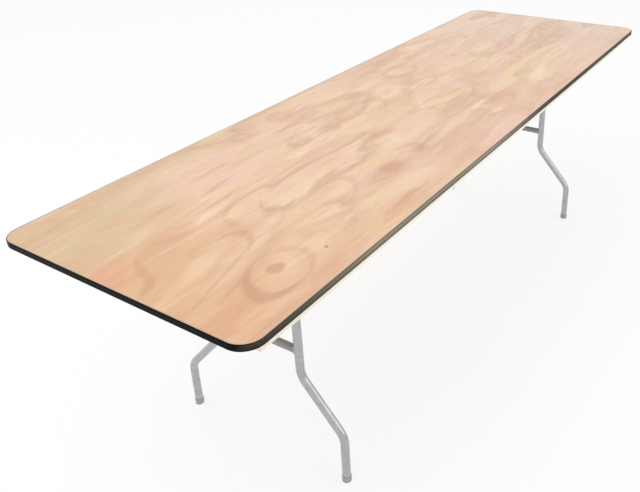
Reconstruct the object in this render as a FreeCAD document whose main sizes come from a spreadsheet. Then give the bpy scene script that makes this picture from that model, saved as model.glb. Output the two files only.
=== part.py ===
import FreeCAD, Part
import math
import os
import re
import Sketcher
from FreeCAD import Placement, Rotation, Vector

# Folding banquet table: a plywood top with a vinyl edge on a frame of hardwood runners,
# and at each end a wishbone frame of bent steel tube that folds up between the runners
# and is held open by a jointed brace.
#
# Frame: millimetres, origin on the floor under the middle of the top, +X along the table,
# +Y across it to the left, +Z up. The near end is at -X.

doc = FreeCAD.newDocument("BanquetTable")

# Driving sizes, each with a note on what it measures
SIZES = {
    "table_length": (2438.4, "overall length with the edging"),
    "table_width": (762, "overall width with the edging"),
    "table_height": (762, "floor to the top face"),
    "corner_radius": (50.8, "plan radius of the outer corner"),
    "panel_thickness": (16, "plywood"),
    "bumper_width": (2, "how far the vinyl edging stands out from the plywood"),
    "bumper_edge_radius": (1.5, "rounding along the outer edges of the edging"),
    "bumper_gap": (0.05, "between the edging and the plywood"),
    "barb_depth": (9, "tongue of the edging inside the plywood"),
    "barb_thickness": (2.8, "tongue of the edging"),
    "groove_depth": (10, "saw groove in the plywood's edge"),
    "groove_height": (3, "saw groove in the plywood's edge"),
    "runner_height": (38, "hardwood runner under the top"),
    "runner_thickness": (19, "hardwood runner"),
    "runner_edge_radius": (2, "eased lower edges of the runners"),
    "side_inset": (25, "table side to the side runner"),
    "end_inset": (60, "table end to the end runner"),
    "runner_screw_length": (50, "wood screw through a runner"),
    "runner_screw_offset": (90, "runner end to its first screw"),
    "side_screw_count": (9, "screws in a side runner"),
    "cross_screw_count": (3, "screws in an end runner or the centre rail"),
    "screw_diameter": (4.2, "shank of every wood screw"),
    "screw_head_diameter": (8, "head diameter of every wood screw"),
    "screw_clearance": (0.05, "screw to its hole"),
    "plate_screw_length": (12, "wood screw through a bracket plate"),
    "pan_height": (2.4, "pan head of a bracket's screw"),
    "pan_flat": (0.6, "share of a pan head's width that is flat"),
    "recess_length": (4.4, "cross recess of a screw head, tip to tip"),
    "recess_width": (1.1, "arm of a screw head's cross recess"),
    "recess_depth": (1.4, "cross recess of a screw head"),
    "leg_inset": (397, "table end to the plane of the leg frame"),
    "leg_diameter": (23.8, "leg tube"),
    "leg_wall_thickness": (1.6, "leg tube"),
    "leg_upper_inset": (236, "table side to the upper straight of a leg"),
    "leg_lower_inset": (105, "table side to the lower straight of a leg"),
    "leg_slant_angle": (41.5, "degrees between the slanted stretch and the vertical"),
    "leg_bend_radius": (60, "centre line of both bends"),
    "lower_straight_height": (129, "height where the lower bend begins"),
    "pivot_depth": (24, "underside of the top to the fold axis"),
    "leg_top_height": (12, "fold axis to the tube's upper end"),
    "cap_height": (18, "plastic foot cap"),
    "cap_base_thickness": (4, "floor to the tube's end"),
    "cap_wall_thickness": (1, "foot cap round the tube"),
    "cap_clearance": (0.05, "tube to its foot cap"),
    "cap_bevel_width": (1.2, "bevel round the foot cap's base"),
    "crossbar_height": (381, "floor to the crossbar's axis"),
    "crossbar_diameter": (22.2, "crossbar tube"),
    "crossbar_wall_thickness": (1.5, "crossbar tube"),
    "weld_gap": (0.05, "crossbar's coped end to the leg tube"),
    "plate_thickness": (3, "pressed steel of every bracket"),
    "ear_length": (28, "bracket ear along the table"),
    "hinge_plate_length": (100, "base of a leg bracket"),
    "hinge_screw_pitch": (70, "screws of a leg bracket"),
    "ear_clearance": (0.5, "leg tube to a bracket ear"),
    "pin_diameter": (10, "hinge pin of a leg"),
    "pin_head_diameter": (16, "head diameter of a hinge pin"),
    "head_height": (3, "head of every pin and rivet"),
    "head_taper": (0.67, "share of a pin or rivet head's width left at its crown"),
    "pin_clearance": (0.02, "pin to the hole that holds it"),
    "running_clearance": (0.06, "pin to the piece that turns on it"),
    "bush_diameter": (14, "bush through the leg's upper end"),
    "bush_clearance": (0.2, "bush end to a bracket ear"),
    "brace_offset": (300, "leg's fold axis to the brace's upper pivot"),
    "hanger_plate_length": (80, "base of a brace hanger"),
    "hanger_screw_pitch": (60, "screws of a brace hanger"),
    "strap_offset": (12, "table's middle to the inner face of an upper strap"),
    "strap_thickness": (4, "upper strap of the brace"),
    "strap_width": (20, "upper strap of the brace"),
    "bar_thickness": (6, "lower bar of the brace"),
    "bar_width": (18, "lower bar of the brace"),
    "eye_diameter": (32, "eye of the lower bar round the crossbar"),
    "brace_clearance": (0.3, "side gap between the brace's moving pieces"),
    "knee_diameter": (12, "pin of the brace's knee"),
    "rivet_diameter": (8, "rivets of the brace"),
    "rivet_head_diameter": (13, "head diameter of the brace's rivets"),
    "stop_diameter": (6, "stop pin of the brace"),
    "stop_head_diameter": (9, "head diameter of the stop pin"),
    "stop_distance": (22, "knee to the stop pin"),
    "stop_lobe_diameter": (13, "strap round the stop pin"),
    "collar_width": (6, "collar beside the lower bar's eye"),
    "collar_diameter": (29, "collar on the crossbar"),
}
sheet = doc.addObject("Spreadsheet::Sheet", "Sizes")
for row, (alias, (number, note)) in enumerate(SIZES.items(), start=1):
    sheet.set(f"A{row}", alias)
    sheet.set(f"B{row}", str(number))
    sheet.set(f"C{row}", note)
    sheet.setAlias(f"B{row}", alias)
doc.recompute()

# Places worked out from the sizes
UNDERSIDE = "(table_height - panel_thickness)"
RUNNER_FOOT = f"({UNDERSIDE} - runner_height)"
PANEL_LENGTH = "(table_length - 2 * bumper_width)"
PANEL_WIDTH = "(table_width - 2 * bumper_width)"
PANEL_RADIUS = "(corner_radius - bumper_width)"
PANEL_MIDDLE = f"({UNDERSIDE} + panel_thickness / 2)"
SIDE_RUNNER_LENGTH = "(table_length - 2 * end_inset)"
SIDE_RUNNER_Y = "(table_width / 2 - side_inset - runner_thickness / 2)"
CROSS_RUNNER_LENGTH = "(table_width - 2 * side_inset - 2 * runner_thickness)"
END_RUNNER_X = "(table_length / 2 - end_inset - runner_thickness / 2)"
LEG_X = "(table_length / 2 - leg_inset)"
LEG_UPPER_Y = "(table_width / 2 - leg_upper_inset)"
LEG_LOWER_Y = "(table_width / 2 - leg_lower_inset)"
PIVOT_Z = f"({UNDERSIDE} - pivot_depth)"
PLATE_FOOT = f"({UNDERSIDE} - plate_thickness)"
HINGE_GAP = "(leg_diameter + 2 * ear_clearance)"
HANGER_GAP = "(2 * (strap_offset + strap_thickness + brace_clearance))"

# The brace is straight when the leg stands and doubled back on itself when the leg is folded:
# its two arms add up to the first distance between their pivots and differ by the second.
BRACE_DROP = f"({PIVOT_Z} - crossbar_height)"
BRACE_LENGTH = f"sqrt(brace_offset ^ 2 + {BRACE_DROP} ^ 2)"
UPPER_ARM = f"(({BRACE_LENGTH} + brace_offset - {BRACE_DROP}) / 2)"
LOWER_ARM = f"(({BRACE_LENGTH} - brace_offset + {BRACE_DROP}) / 2)"
STOP_SIDE = "(bar_width / 2 + stop_diameter / 2 + brace_clearance)"

ENDS = {"near": -1, "far": 1}
SIDES = {"left": 1, "right": -1}
ALONG_Y = Rotation(Vector(1, 0, 0), -90)
pieces = []


def linked(formula):
    """The formula with the name of each size pointing at its cell."""
    return re.sub(r"[a-z_]+", lambda word: "Sizes." * (word[0] in SIZES) + word[0], formula)


def value(formula):
    """The number that a formula gives."""
    return float(sheet.evalExpression(linked(formula)))


def bind(item, **formulas):
    """Ties an item's properties to formulas."""
    for name, formula in formulas.items():
        item.setExpression(name, linked(formula))
    return item


def seat(item, x, y, z, rotation=Rotation()):
    """Ties an item's place to formulas."""
    item.Placement = Placement(Vector(), rotation)
    for axis, formula in zip("xyz", (x, y, z)):
        item.setExpression(f"Placement.Base.{axis}", linked(formula))
    return item


def box(name, size, x, y, foot):
    """A block standing on the height foot, centred on x and y."""
    length, width, height = size
    item = bind(doc.addObject("Part::Box", name), Length=length, Width=width, Height=height)
    return seat(item, f"{x} - {length} / 2", f"{y} - {width} / 2", foot)


def rod(name, diameter, length, x, y, z):
    """A round bar across the table, centred on x, y and z."""
    item = bind(doc.addObject("Part::Cylinder", name), Radius=f"{diameter} / 2", Height=length)
    return seat(item, x, f"{y} - {length} / 2", z, ALONG_Y)


def post(name, diameter, height, x, y, foot):
    """An upright round bar standing on the height foot."""
    item = bind(doc.addObject("Part::Cylinder", name), Radius=f"{diameter} / 2", Height=height)
    return seat(item, x, y, foot)


def fuse(name, *parts):
    item = doc.addObject("Part::MultiFuse", name)
    item.Shapes = parts
    return item


def cut(name, base, *tools):
    """The base less all the tools."""
    item = doc.addObject("Part::Cut", name)
    item.Base = base
    item.Tool = tools[0] if len(tools) == 1 else group(f"{name}Tools", *tools)
    return item


def group(name, *parts):
    item = doc.addObject("Part::Compound", name)
    item.Links = parts
    return item


def solid(name, shape):
    item = doc.addObject("Part::Feature", name)
    item.Shape = shape
    return item


def piece(item, label):
    """Names a finished sub-part."""
    item.Label = label
    pieces.append(item)
    return item


def end_piece(item, label, end, turn=Rotation(), x="0", z="0"):
    """Names a sub-part drawn with x running inboard from the leg's plane, and sets it at its end."""
    facing = Rotation(Vector(0, 0, 1), 0 if end == "near" else 180)
    sign = ENDS[end]
    seat(item, f"{sign} * ({LEG_X} - {x})", "0", z, facing * turn)
    return piece(item, f"{label}_{end}")


def plane_sketch(body, name, role, height="0"):
    """A sketch on one of the body's own planes, raised along its normal."""
    sketch = body.newObject("Sketcher::SketchObject", name)
    plane = next(item for item in body.Origin.OriginFeatures if item.Role == role)
    sketch.AttachmentSupport = [(plane, "")]
    sketch.MapMode = "FlatFace"
    sketch.setExpression("AttachmentOffset.Base.z", linked(height))
    return sketch


def hold(sketch, kind, *target, to):
    """A dimension of a sketch, tied to a formula."""
    first_guess = math.radians(value(to)) if kind == "Angle" else value(to)
    index = sketch.addConstraint(Sketcher.Constraint(kind, *target, first_guess))
    unit = " * 1 deg" if kind == "Angle" else ""
    sketch.setExpression(f"Constraints[{index}]", linked(f"({to}){unit}"))


# The points of a line or an arc, as a sketch counts them, and the sketch's own origin
START, END, CENTRE = range(1, 4)
ORIGIN = (-1, START)


def rounded_rectangle(sketch, length, width, radius):
    """A rectangle about the origin with four equal rounded corners."""
    corner = value(radius)
    middle_x, middle_y = value(length) / 2 - corner, value(width) / 2 - corner
    arcs = []
    for quarter, (sign_x, sign_y) in enumerate([(1, 1), (-1, 1), (-1, -1), (1, -1)]):
        circle = Part.Circle(Vector(sign_x * middle_x, sign_y * middle_y, 0), Vector(0, 0, 1), corner)
        start = quarter * math.pi / 2
        arcs.append(sketch.addGeometry(Part.ArcOfCircle(circle, start, start + math.pi / 2)))
    lines = []
    for arc, following in zip(arcs, arcs[1:] + arcs[:1]):
        ends = sketch.getPoint(arc, END), sketch.getPoint(following, START)
        line = sketch.addGeometry(Part.LineSegment(*ends))
        sketch.addConstraint(Sketcher.Constraint("Tangent", arc, END, line, START))
        sketch.addConstraint(Sketcher.Constraint("Tangent", line, END, following, START))
        sketch.addConstraint(Sketcher.Constraint("Vertical" if len(lines) % 2 else "Horizontal", line))
        lines.append(line)
    for arc in arcs[1:]:
        sketch.addConstraint(Sketcher.Constraint("Equal", arcs[0], arc))
    sketch.addConstraint(Sketcher.Constraint("Symmetric", arcs[0], CENTRE, arcs[2], CENTRE, *ORIGIN))
    hold(sketch, "Radius", arcs[0], to=radius)
    hold(sketch, "DistanceX", lines[1], START, lines[3], START, to=length)
    hold(sketch, "DistanceY", lines[2], START, lines[0], START, to=width)


def edge_rectangle(sketch, outset):
    """The plywood's outline, moved outwards by a formula."""
    rounded_rectangle(sketch, f"{PANEL_LENGTH} + 2 * {outset}", f"{PANEL_WIDTH} + 2 * {outset}",
                      f"{PANEL_RADIUS} + {outset}")


def wood_screw(length, countersunk, slack=0.0):
    """An upright wood screw, point up, with the face that its head bears on at height 0."""
    shank = value("screw_diameter") / 2 + slack
    head = value("screw_head_diameter") / 2 + slack
    tip = length + slack
    taper = head - shank
    if countersunk:
        profile = [(0, 0), (head, 0), (shank, taper)]
    else:
        crown = value("pan_height")
        flat, brim = head * value("pan_flat"), crown / 2
        profile = [(0, -crown), (flat, -crown), (head, -brim), (head, 0), (shank, 0)]
    profile += [(shank, tip - 2 * shank), (0, tip)]
    outline = Part.makePolygon([Vector(x, 0, z) for x, z in profile + profile[:1]])
    return Part.Face(outline).revolve(Vector(), Vector(0, 0, 1), 360)


def crossed(screw):
    """A wood screw with the cross that a driver turns cut up into its head."""
    length, width, depth = value("recess_length"), value("recess_width"), value("recess_depth")
    arm = Part.makeBox(length, width, depth, Vector(-length / 2, -width / 2, screw.BoundBox.ZMin))
    return screw.cut(arm.fuse(arm.rotated(Vector(), Vector(0, 0, 1), 90)))


def copies(shape, points):
    """One copy of a shape at each point, as a group of separate solids."""
    return Part.makeCompound([shape.translated(Vector(*point)) for point in points])


def spread(count, half_span):
    """Evenly spaced places from one end of a span to the other."""
    return [half_span * (2 * step / (count - 1) - 1) for step in range(count)]


# Where the screws go, all driven upwards into the plywood
runner_foot, plate_foot = value(RUNNER_FOOT), value(PLATE_FOOT)
side_span = value(f"{SIDE_RUNNER_LENGTH} / 2 - runner_screw_offset")
cross_span = value(f"{CROSS_RUNNER_LENGTH} / 2 - runner_screw_offset")
side_places = spread(round(value("side_screw_count")), side_span)
cross_places = spread(round(value("cross_screw_count")), cross_span)
runner_points = []
for sign in ENDS.values():
    runner_points += [(x, sign * value(SIDE_RUNNER_Y), runner_foot) for x in side_places]
for x in (-value(END_RUNNER_X), 0, value(END_RUNNER_X)):
    runner_points += [(x, y, runner_foot) for y in cross_places]
bracket_points = []
for end_sign in ENDS.values():
    for way in (-1, 1):
        hinge_x = end_sign * value(LEG_X) + way * value("hinge_screw_pitch / 2")
        hanger_x = end_sign * value(f"{LEG_X} - brace_offset") + way * value("hanger_screw_pitch / 2")
        bracket_points += [(hinge_x, side * value(LEG_UPPER_Y), plate_foot) for side in SIDES.values()]
        bracket_points.append((hanger_x, 0, plate_foot))
runner_length, plate_length = value("runner_screw_length"), value("plate_screw_length")
slack = value("screw_clearance")
runner_holes = solid("RunnerHoles", copies(wood_screw(runner_length, True, slack), runner_points))
bracket_holes = solid("BracketHoles", copies(wood_screw(plate_length, False, slack), bracket_points))
runner_screw = crossed(wood_screw(runner_length, True))
bracket_screw = crossed(wood_screw(plate_length, False))
piece(solid("RunnerScrews", copies(runner_screw, runner_points)), "runner_screws")
piece(solid("BracketScrews", copies(bracket_screw, bracket_points)), "bracket_screws")

# Plywood top: a rounded board with a saw groove all round its edge for the edging's tongue
panel = doc.addObject("PartDesign::Body", "Panel")
outline = plane_sketch(panel, "PanelOutline", "XY_Plane", UNDERSIDE)
edge_rectangle(outline, "0")
board = panel.newObject("PartDesign::Pad", "Board")
board.Profile = outline
bind(board, Length="panel_thickness")
saw_path = plane_sketch(panel, "GrooveRing", "XY_Plane", f"{PANEL_MIDDLE} - groove_height / 2")
edge_rectangle(saw_path, "bumper_width")
edge_rectangle(saw_path, "(-groove_depth)")
groove = panel.newObject("PartDesign::Pocket", "Groove")
groove.Profile = saw_path
groove.Reversed = True
bind(groove, Length="groove_height")
piece(cut("Top", panel, runner_holes, bracket_holes), "plywood_top")

# Vinyl edging: a rounded band round the plywood, held by a tongue pushed into the groove
edging = doc.addObject("PartDesign::Body", "Edging")
band_outline = plane_sketch(edging, "BandOutline", "XY_Plane", UNDERSIDE)
edge_rectangle(band_outline, "bumper_width")
band = edging.newObject("PartDesign::Pad", "Band")
band.Profile = band_outline
bind(band, Length="panel_thickness")
doc.recompute()
rounding = edging.newObject("PartDesign::Fillet", "BandRounding")
level_edges = [f"Edge{number}" for number, edge in enumerate(band.Shape.Edges, start=1)
               if edge.BoundBox.ZLength < value("bumper_gap")]
rounding.Base = (band, level_edges)
bind(rounding, Radius="bumper_edge_radius")
opening_outline = plane_sketch(edging, "BandOpening", "XY_Plane", UNDERSIDE)
edge_rectangle(opening_outline, "bumper_gap")
opening = edging.newObject("PartDesign::Pocket", "Opening")
opening.Profile = opening_outline
opening.Reversed = True
bind(opening, Length="panel_thickness")
tongue_outline = plane_sketch(edging, "TongueRing", "XY_Plane", f"{PANEL_MIDDLE} - barb_thickness / 2")
edge_rectangle(tongue_outline, "(bumper_width / 2)")
edge_rectangle(tongue_outline, "(-barb_depth)")
tongue = edging.newObject("PartDesign::Pad", "Tongue")
tongue.Profile = tongue_outline
bind(tongue, Length="barb_thickness")
piece(edging, "edge_bumper")


def runner(label, length, x, y, lengthways):
    """A hardwood runner with its two lower edges eased, drilled for its screws."""
    body = doc.addObject("PartDesign::Body", label.title().replace("_", ""))
    blank = body.newObject("PartDesign::AdditiveBox", f"{body.Name}Blank")
    size_x, size_y = (length, "runner_thickness") if lengthways else ("runner_thickness", length)
    bind(blank, Length=size_x, Width=size_y, Height="runner_height")
    seat(blank, f"{x} - {size_x} / 2", f"{y} - {size_y} / 2", RUNNER_FOOT)
    doc.recompute()
    eased = body.newObject("PartDesign::Fillet", f"{body.Name}Eased")
    lengthy = value("2 * runner_thickness")
    long_low = [f"Edge{number}" for number, edge in enumerate(blank.Shape.Edges, start=1)
                if edge.Length > lengthy and edge.CenterOfMass.z < blank.Shape.CenterOfMass.z]
    eased.Base = (blank, long_low)
    bind(eased, Radius="runner_edge_radius")
    piece(cut(f"{body.Name}Drilled", body, runner_holes), label)


# Hardwood runners: two down the sides, one across each end and one across the middle
for side, sign in SIDES.items():
    runner(f"side_runner_{side}", SIDE_RUNNER_LENGTH, "0", f"{sign} * {SIDE_RUNNER_Y}", True)
for end, sign in ENDS.items():
    runner(f"end_runner_{end}", CROSS_RUNNER_LENGTH, f"{sign} * {END_RUNNER_X}", "0", False)
runner("centre_rail", CROSS_RUNNER_LENGTH, "0", "0", False)


def clevis(name, gap, plate_size, screw_pitch, y, hole):
    """A pressed bracket: a base plate under the top and two round-ended ears about the pivot."""
    width = f"({gap} + 2 * plate_thickness)"
    parts = [box(f"{name}Base", (plate_size, width, "plate_thickness"), "0", y, PLATE_FOOT)]
    for side, sign in SIDES.items():
        ear_y = f"({y} + {sign} * ({gap} + plate_thickness) / 2)"
        ear_size = ("ear_length", "plate_thickness", "(pivot_depth - plate_thickness)")
        parts.append(box(f"{name}Ear{side}", ear_size, "0", ear_y, PIVOT_Z))
        parts.append(rod(f"{name}Round{side}", "ear_length", "plate_thickness", "0", ear_y, PIVOT_Z))
    tools = [rod(f"{name}Bore", f"({hole} + 2 * pin_clearance)", f"(2 * {width})", "0", y, PIVOT_Z)]
    screw_hole, deep = "(screw_diameter + 2 * screw_clearance)", "(2 * plate_thickness)"
    for way in (-1, 1):
        tools.append(post(f"{name}Screw{way + 1}", screw_hole, deep, f"{way} * {screw_pitch} / 2", y,
                          f"({PLATE_FOOT} - plate_thickness / 2)"))
    return cut(name, fuse(f"{name}Blank", *parts), *tools)


def rivet(name, diameter, head, inner, outer, x="0", z="0"):
    """A rivet across the table with a tapered head on the outside of each of its two faces."""
    length = f"({outer} - {inner})"
    parts = [rod(f"{name}Shank", diameter, length, x, f"({outer} + {inner}) / 2", z)]
    for face, way in ((inner, -1), (outer, 1)):
        cone = bind(doc.addObject("Part::Cone", f"{name}Head{way + 1}"), Height="head_height",
                    Radius1=f"{head} / 2", Radius2=f"{head} / 2 * head_taper")
        parts.append(seat(cone, x, face, z, Rotation(Vector(1, 0, 0), -90 * way)))
    return fuse(name, *parts)


def sketch_line(sketch, start, end):
    return sketch.addGeometry(Part.LineSegment(Vector(*start, 0), Vector(*end, 0)))


def leg_tube(name):
    """A wishbone leg: tube bent out from its upper straight to its lower straight, with the bush's hole."""
    body = doc.addObject("PartDesign::Body", name)
    path = plane_sketch(body, f"{name}Path", "YZ_Plane")
    slant, radius = math.radians(value("leg_slant_angle")), value("leg_bend_radius")
    low_y, high_y, low_z = value(LEG_LOWER_Y), value(LEG_UPPER_Y), value("lower_straight_height")
    turn_y, turn_z = radius * (1 - math.cos(slant)), radius * math.sin(slant)
    rise = (low_y - high_y - 2 * turn_y) / math.tan(slant)
    high_z = low_z + 2 * turn_z + rise
    top_z = value(f"{PIVOT_Z} + leg_top_height")
    lower = sketch_line(path, (low_y, value("cap_base_thickness")), (low_y, low_z))
    low_bend = path.addGeometry(Part.ArcOfCircle(
        Part.Circle(Vector(low_y - radius, low_z, 0), Vector(0, 0, 1), radius), 0, slant))
    slanted = sketch_line(path, (low_y - turn_y, low_z + turn_z), (high_y + turn_y, high_z - turn_z))
    high_bend = path.addGeometry(Part.ArcOfCircle(
        Part.Circle(Vector(high_y + radius, high_z, 0), Vector(0, 0, 1), radius), math.pi, math.pi + slant))
    upper = sketch_line(path, (high_y, high_z), (high_y, top_z))
    for joint in ((lower, END, low_bend, START), (low_bend, END, slanted, START),
                  (slanted, END, high_bend, END), (high_bend, START, upper, START)):
        path.addConstraint(Sketcher.Constraint("Tangent", *joint))
    path.addConstraint(Sketcher.Constraint("Vertical", lower))
    path.addConstraint(Sketcher.Constraint("Vertical", upper))
    path.addConstraint(Sketcher.Constraint("Equal", low_bend, high_bend))
    hold(path, "Radius", low_bend, to="leg_bend_radius")
    hold(path, "Angle", slanted, to="90 + leg_slant_angle")
    hold(path, "DistanceX", *ORIGIN, lower, START, to=LEG_LOWER_Y)
    hold(path, "DistanceX", *ORIGIN, upper, END, to=LEG_UPPER_Y)
    hold(path, "DistanceY", *ORIGIN, lower, START, to="cap_base_thickness")
    hold(path, "DistanceY", *ORIGIN, lower, END, to="lower_straight_height")
    hold(path, "DistanceY", *ORIGIN, upper, END, to=f"{PIVOT_Z} + leg_top_height")
    ring = plane_sketch(body, f"{name}Section", "XY_Plane", "cap_base_thickness")
    for bore in ("leg_diameter", "leg_diameter - 2 * leg_wall_thickness"):
        circle = ring.addGeometry(Part.Circle(Vector(0, low_y, 0), Vector(0, 0, 1), value(bore) / 2))
        hold(ring, "Diameter", circle, to=bore)
        hold(ring, "DistanceY", *ORIGIN, circle, CENTRE, to=LEG_LOWER_Y)
        ring.addConstraint(Sketcher.Constraint("PointOnObject", circle, CENTRE, -2))
    tube = body.newObject("PartDesign::AdditivePipe", f"{name}Tube")
    tube.Profile = ring
    tube.Spine = (path, [f"Edge{number}" for number in range(1, 6)])
    doc.recompute()
    hole = body.newObject("PartDesign::SubtractiveCylinder", f"{name}BushHole")
    bind(hole, Radius="bush_diameter / 2 + pin_clearance", Height="2 * leg_diameter")
    seat(hole, "0", f"{LEG_UPPER_Y} - leg_diameter", PIVOT_Z, ALONG_Y)
    return body


def foot_cap(name):
    """A blind plastic cap over the leg's lower end, bevelled round its base."""
    inside = "(leg_diameter + 2 * cap_clearance)"
    outside = f"({inside} + 2 * cap_wall_thickness)"
    heel = bind(doc.addObject("Part::Cone", f"{name}Heel"), Height="cap_bevel_width",
                Radius1=f"{outside} / 2 - cap_bevel_width", Radius2=f"{outside} / 2")
    seat(heel, "0", LEG_LOWER_Y, "0")
    wall = post(f"{name}Wall", outside, "(cap_height - cap_bevel_width)", "0", LEG_LOWER_Y,
                "cap_bevel_width")
    socket = post(f"{name}Socket", inside, "cap_height", "0", LEG_LOWER_Y, "cap_base_thickness")
    return cut(name, fuse(f"{name}Blank", heel, wall), socket)


def crossbar(name):
    """A tube between the legs with both ends coped to fit round them."""
    bar = rod(f"{name}Outside", "crossbar_diameter", f"(2 * {LEG_UPPER_Y})", "0", "0", "crossbar_height")
    bore = "(crossbar_diameter - 2 * crossbar_wall_thickness)"
    tools = [rod(f"{name}Inside", bore, f"(4 * {LEG_UPPER_Y})", "0", "0", "crossbar_height")]
    cope, tall = "(leg_diameter + 2 * weld_gap)", "(4 * crossbar_diameter)"
    for side, sign in SIDES.items():
        tools.append(post(f"{name}Cope{side}", cope, tall, "0", f"{sign} * {LEG_UPPER_Y}",
                          f"(crossbar_height - {tall} / 2)"))
    return cut(name, bar, *tools)


def ring(name, outside, bore, width, y, z):
    return cut(name, rod(f"{name}Outside", outside, width, "0", y, z),
               rod(f"{name}Bore", bore, f"(2 * {width})", "0", y, z))


def strap(name, sign):
    """An upper strap of the brace, from its hanger at 0 past the knee to a lobe round the stop pin."""
    y = f"({sign} * (strap_offset + strap_thickness / 2))"
    stop_x = f"({UPPER_ARM} + stop_distance)"
    thick = "strap_thickness"
    flat = box(f"{name}Flat", (stop_x, thick, "strap_width"), f"{stop_x} / 2", y, "-strap_width / 2")
    rounds = [rod(f"{name}HangerEnd", "strap_width", thick, "0", y, "0"),
              rod(f"{name}KneeEnd", "strap_width", thick, stop_x, y, "0"),
              rod(f"{name}StopLobe", "stop_lobe_diameter", thick, stop_x, y, f"(-{STOP_SIDE})")]
    deep = "(2 * strap_thickness)"
    stop_hole = "(stop_diameter + 2 * pin_clearance)"
    holes = [rod(f"{name}HangerHole", "(rivet_diameter + 2 * running_clearance)", deep, "0", y, "0"),
             rod(f"{name}KneeHole", "(rivet_diameter + 2 * pin_clearance)", deep, UPPER_ARM, y, "0"),
             rod(f"{name}StopHole", stop_hole, deep, stop_x, y, f"(-{STOP_SIDE})")]
    return cut(name, fuse(f"{name}Blank", flat, *rounds), *holes)


def lower_bar(name):
    """The lower bar of the brace, from its eye round the crossbar at 0 to the knee."""
    thick, deep = "bar_thickness", "(2 * bar_thickness)"
    flat = box(f"{name}Flat", (LOWER_ARM, thick, "bar_width"), f"{LOWER_ARM} / 2", "0", "-bar_width / 2")
    eye = rod(f"{name}Eye", "eye_diameter", thick, "0", "0", "0")
    knee = rod(f"{name}Knee", "bar_width", thick, LOWER_ARM, "0", "0")
    return cut(name, fuse(f"{name}Blank", flat, eye, knee),
               rod(f"{name}EyeHole", "(crossbar_diameter + 2 * running_clearance)", deep, "0", "0", "0"),
               rod(f"{name}KneeHole", "(knee_diameter + 2 * pin_clearance)", deep, LOWER_ARM, "0", "0"))


# Slope of the open brace, and the turns that lay its two arms along it
brace_slope = math.degrees(math.atan2(value(BRACE_DROP), value("brace_offset")))
lower_turn = Rotation(Vector(0, 1, 0), -brace_slope)
upper_turn = Rotation(Vector(0, 1, 0), -brace_slope - 180)

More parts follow.
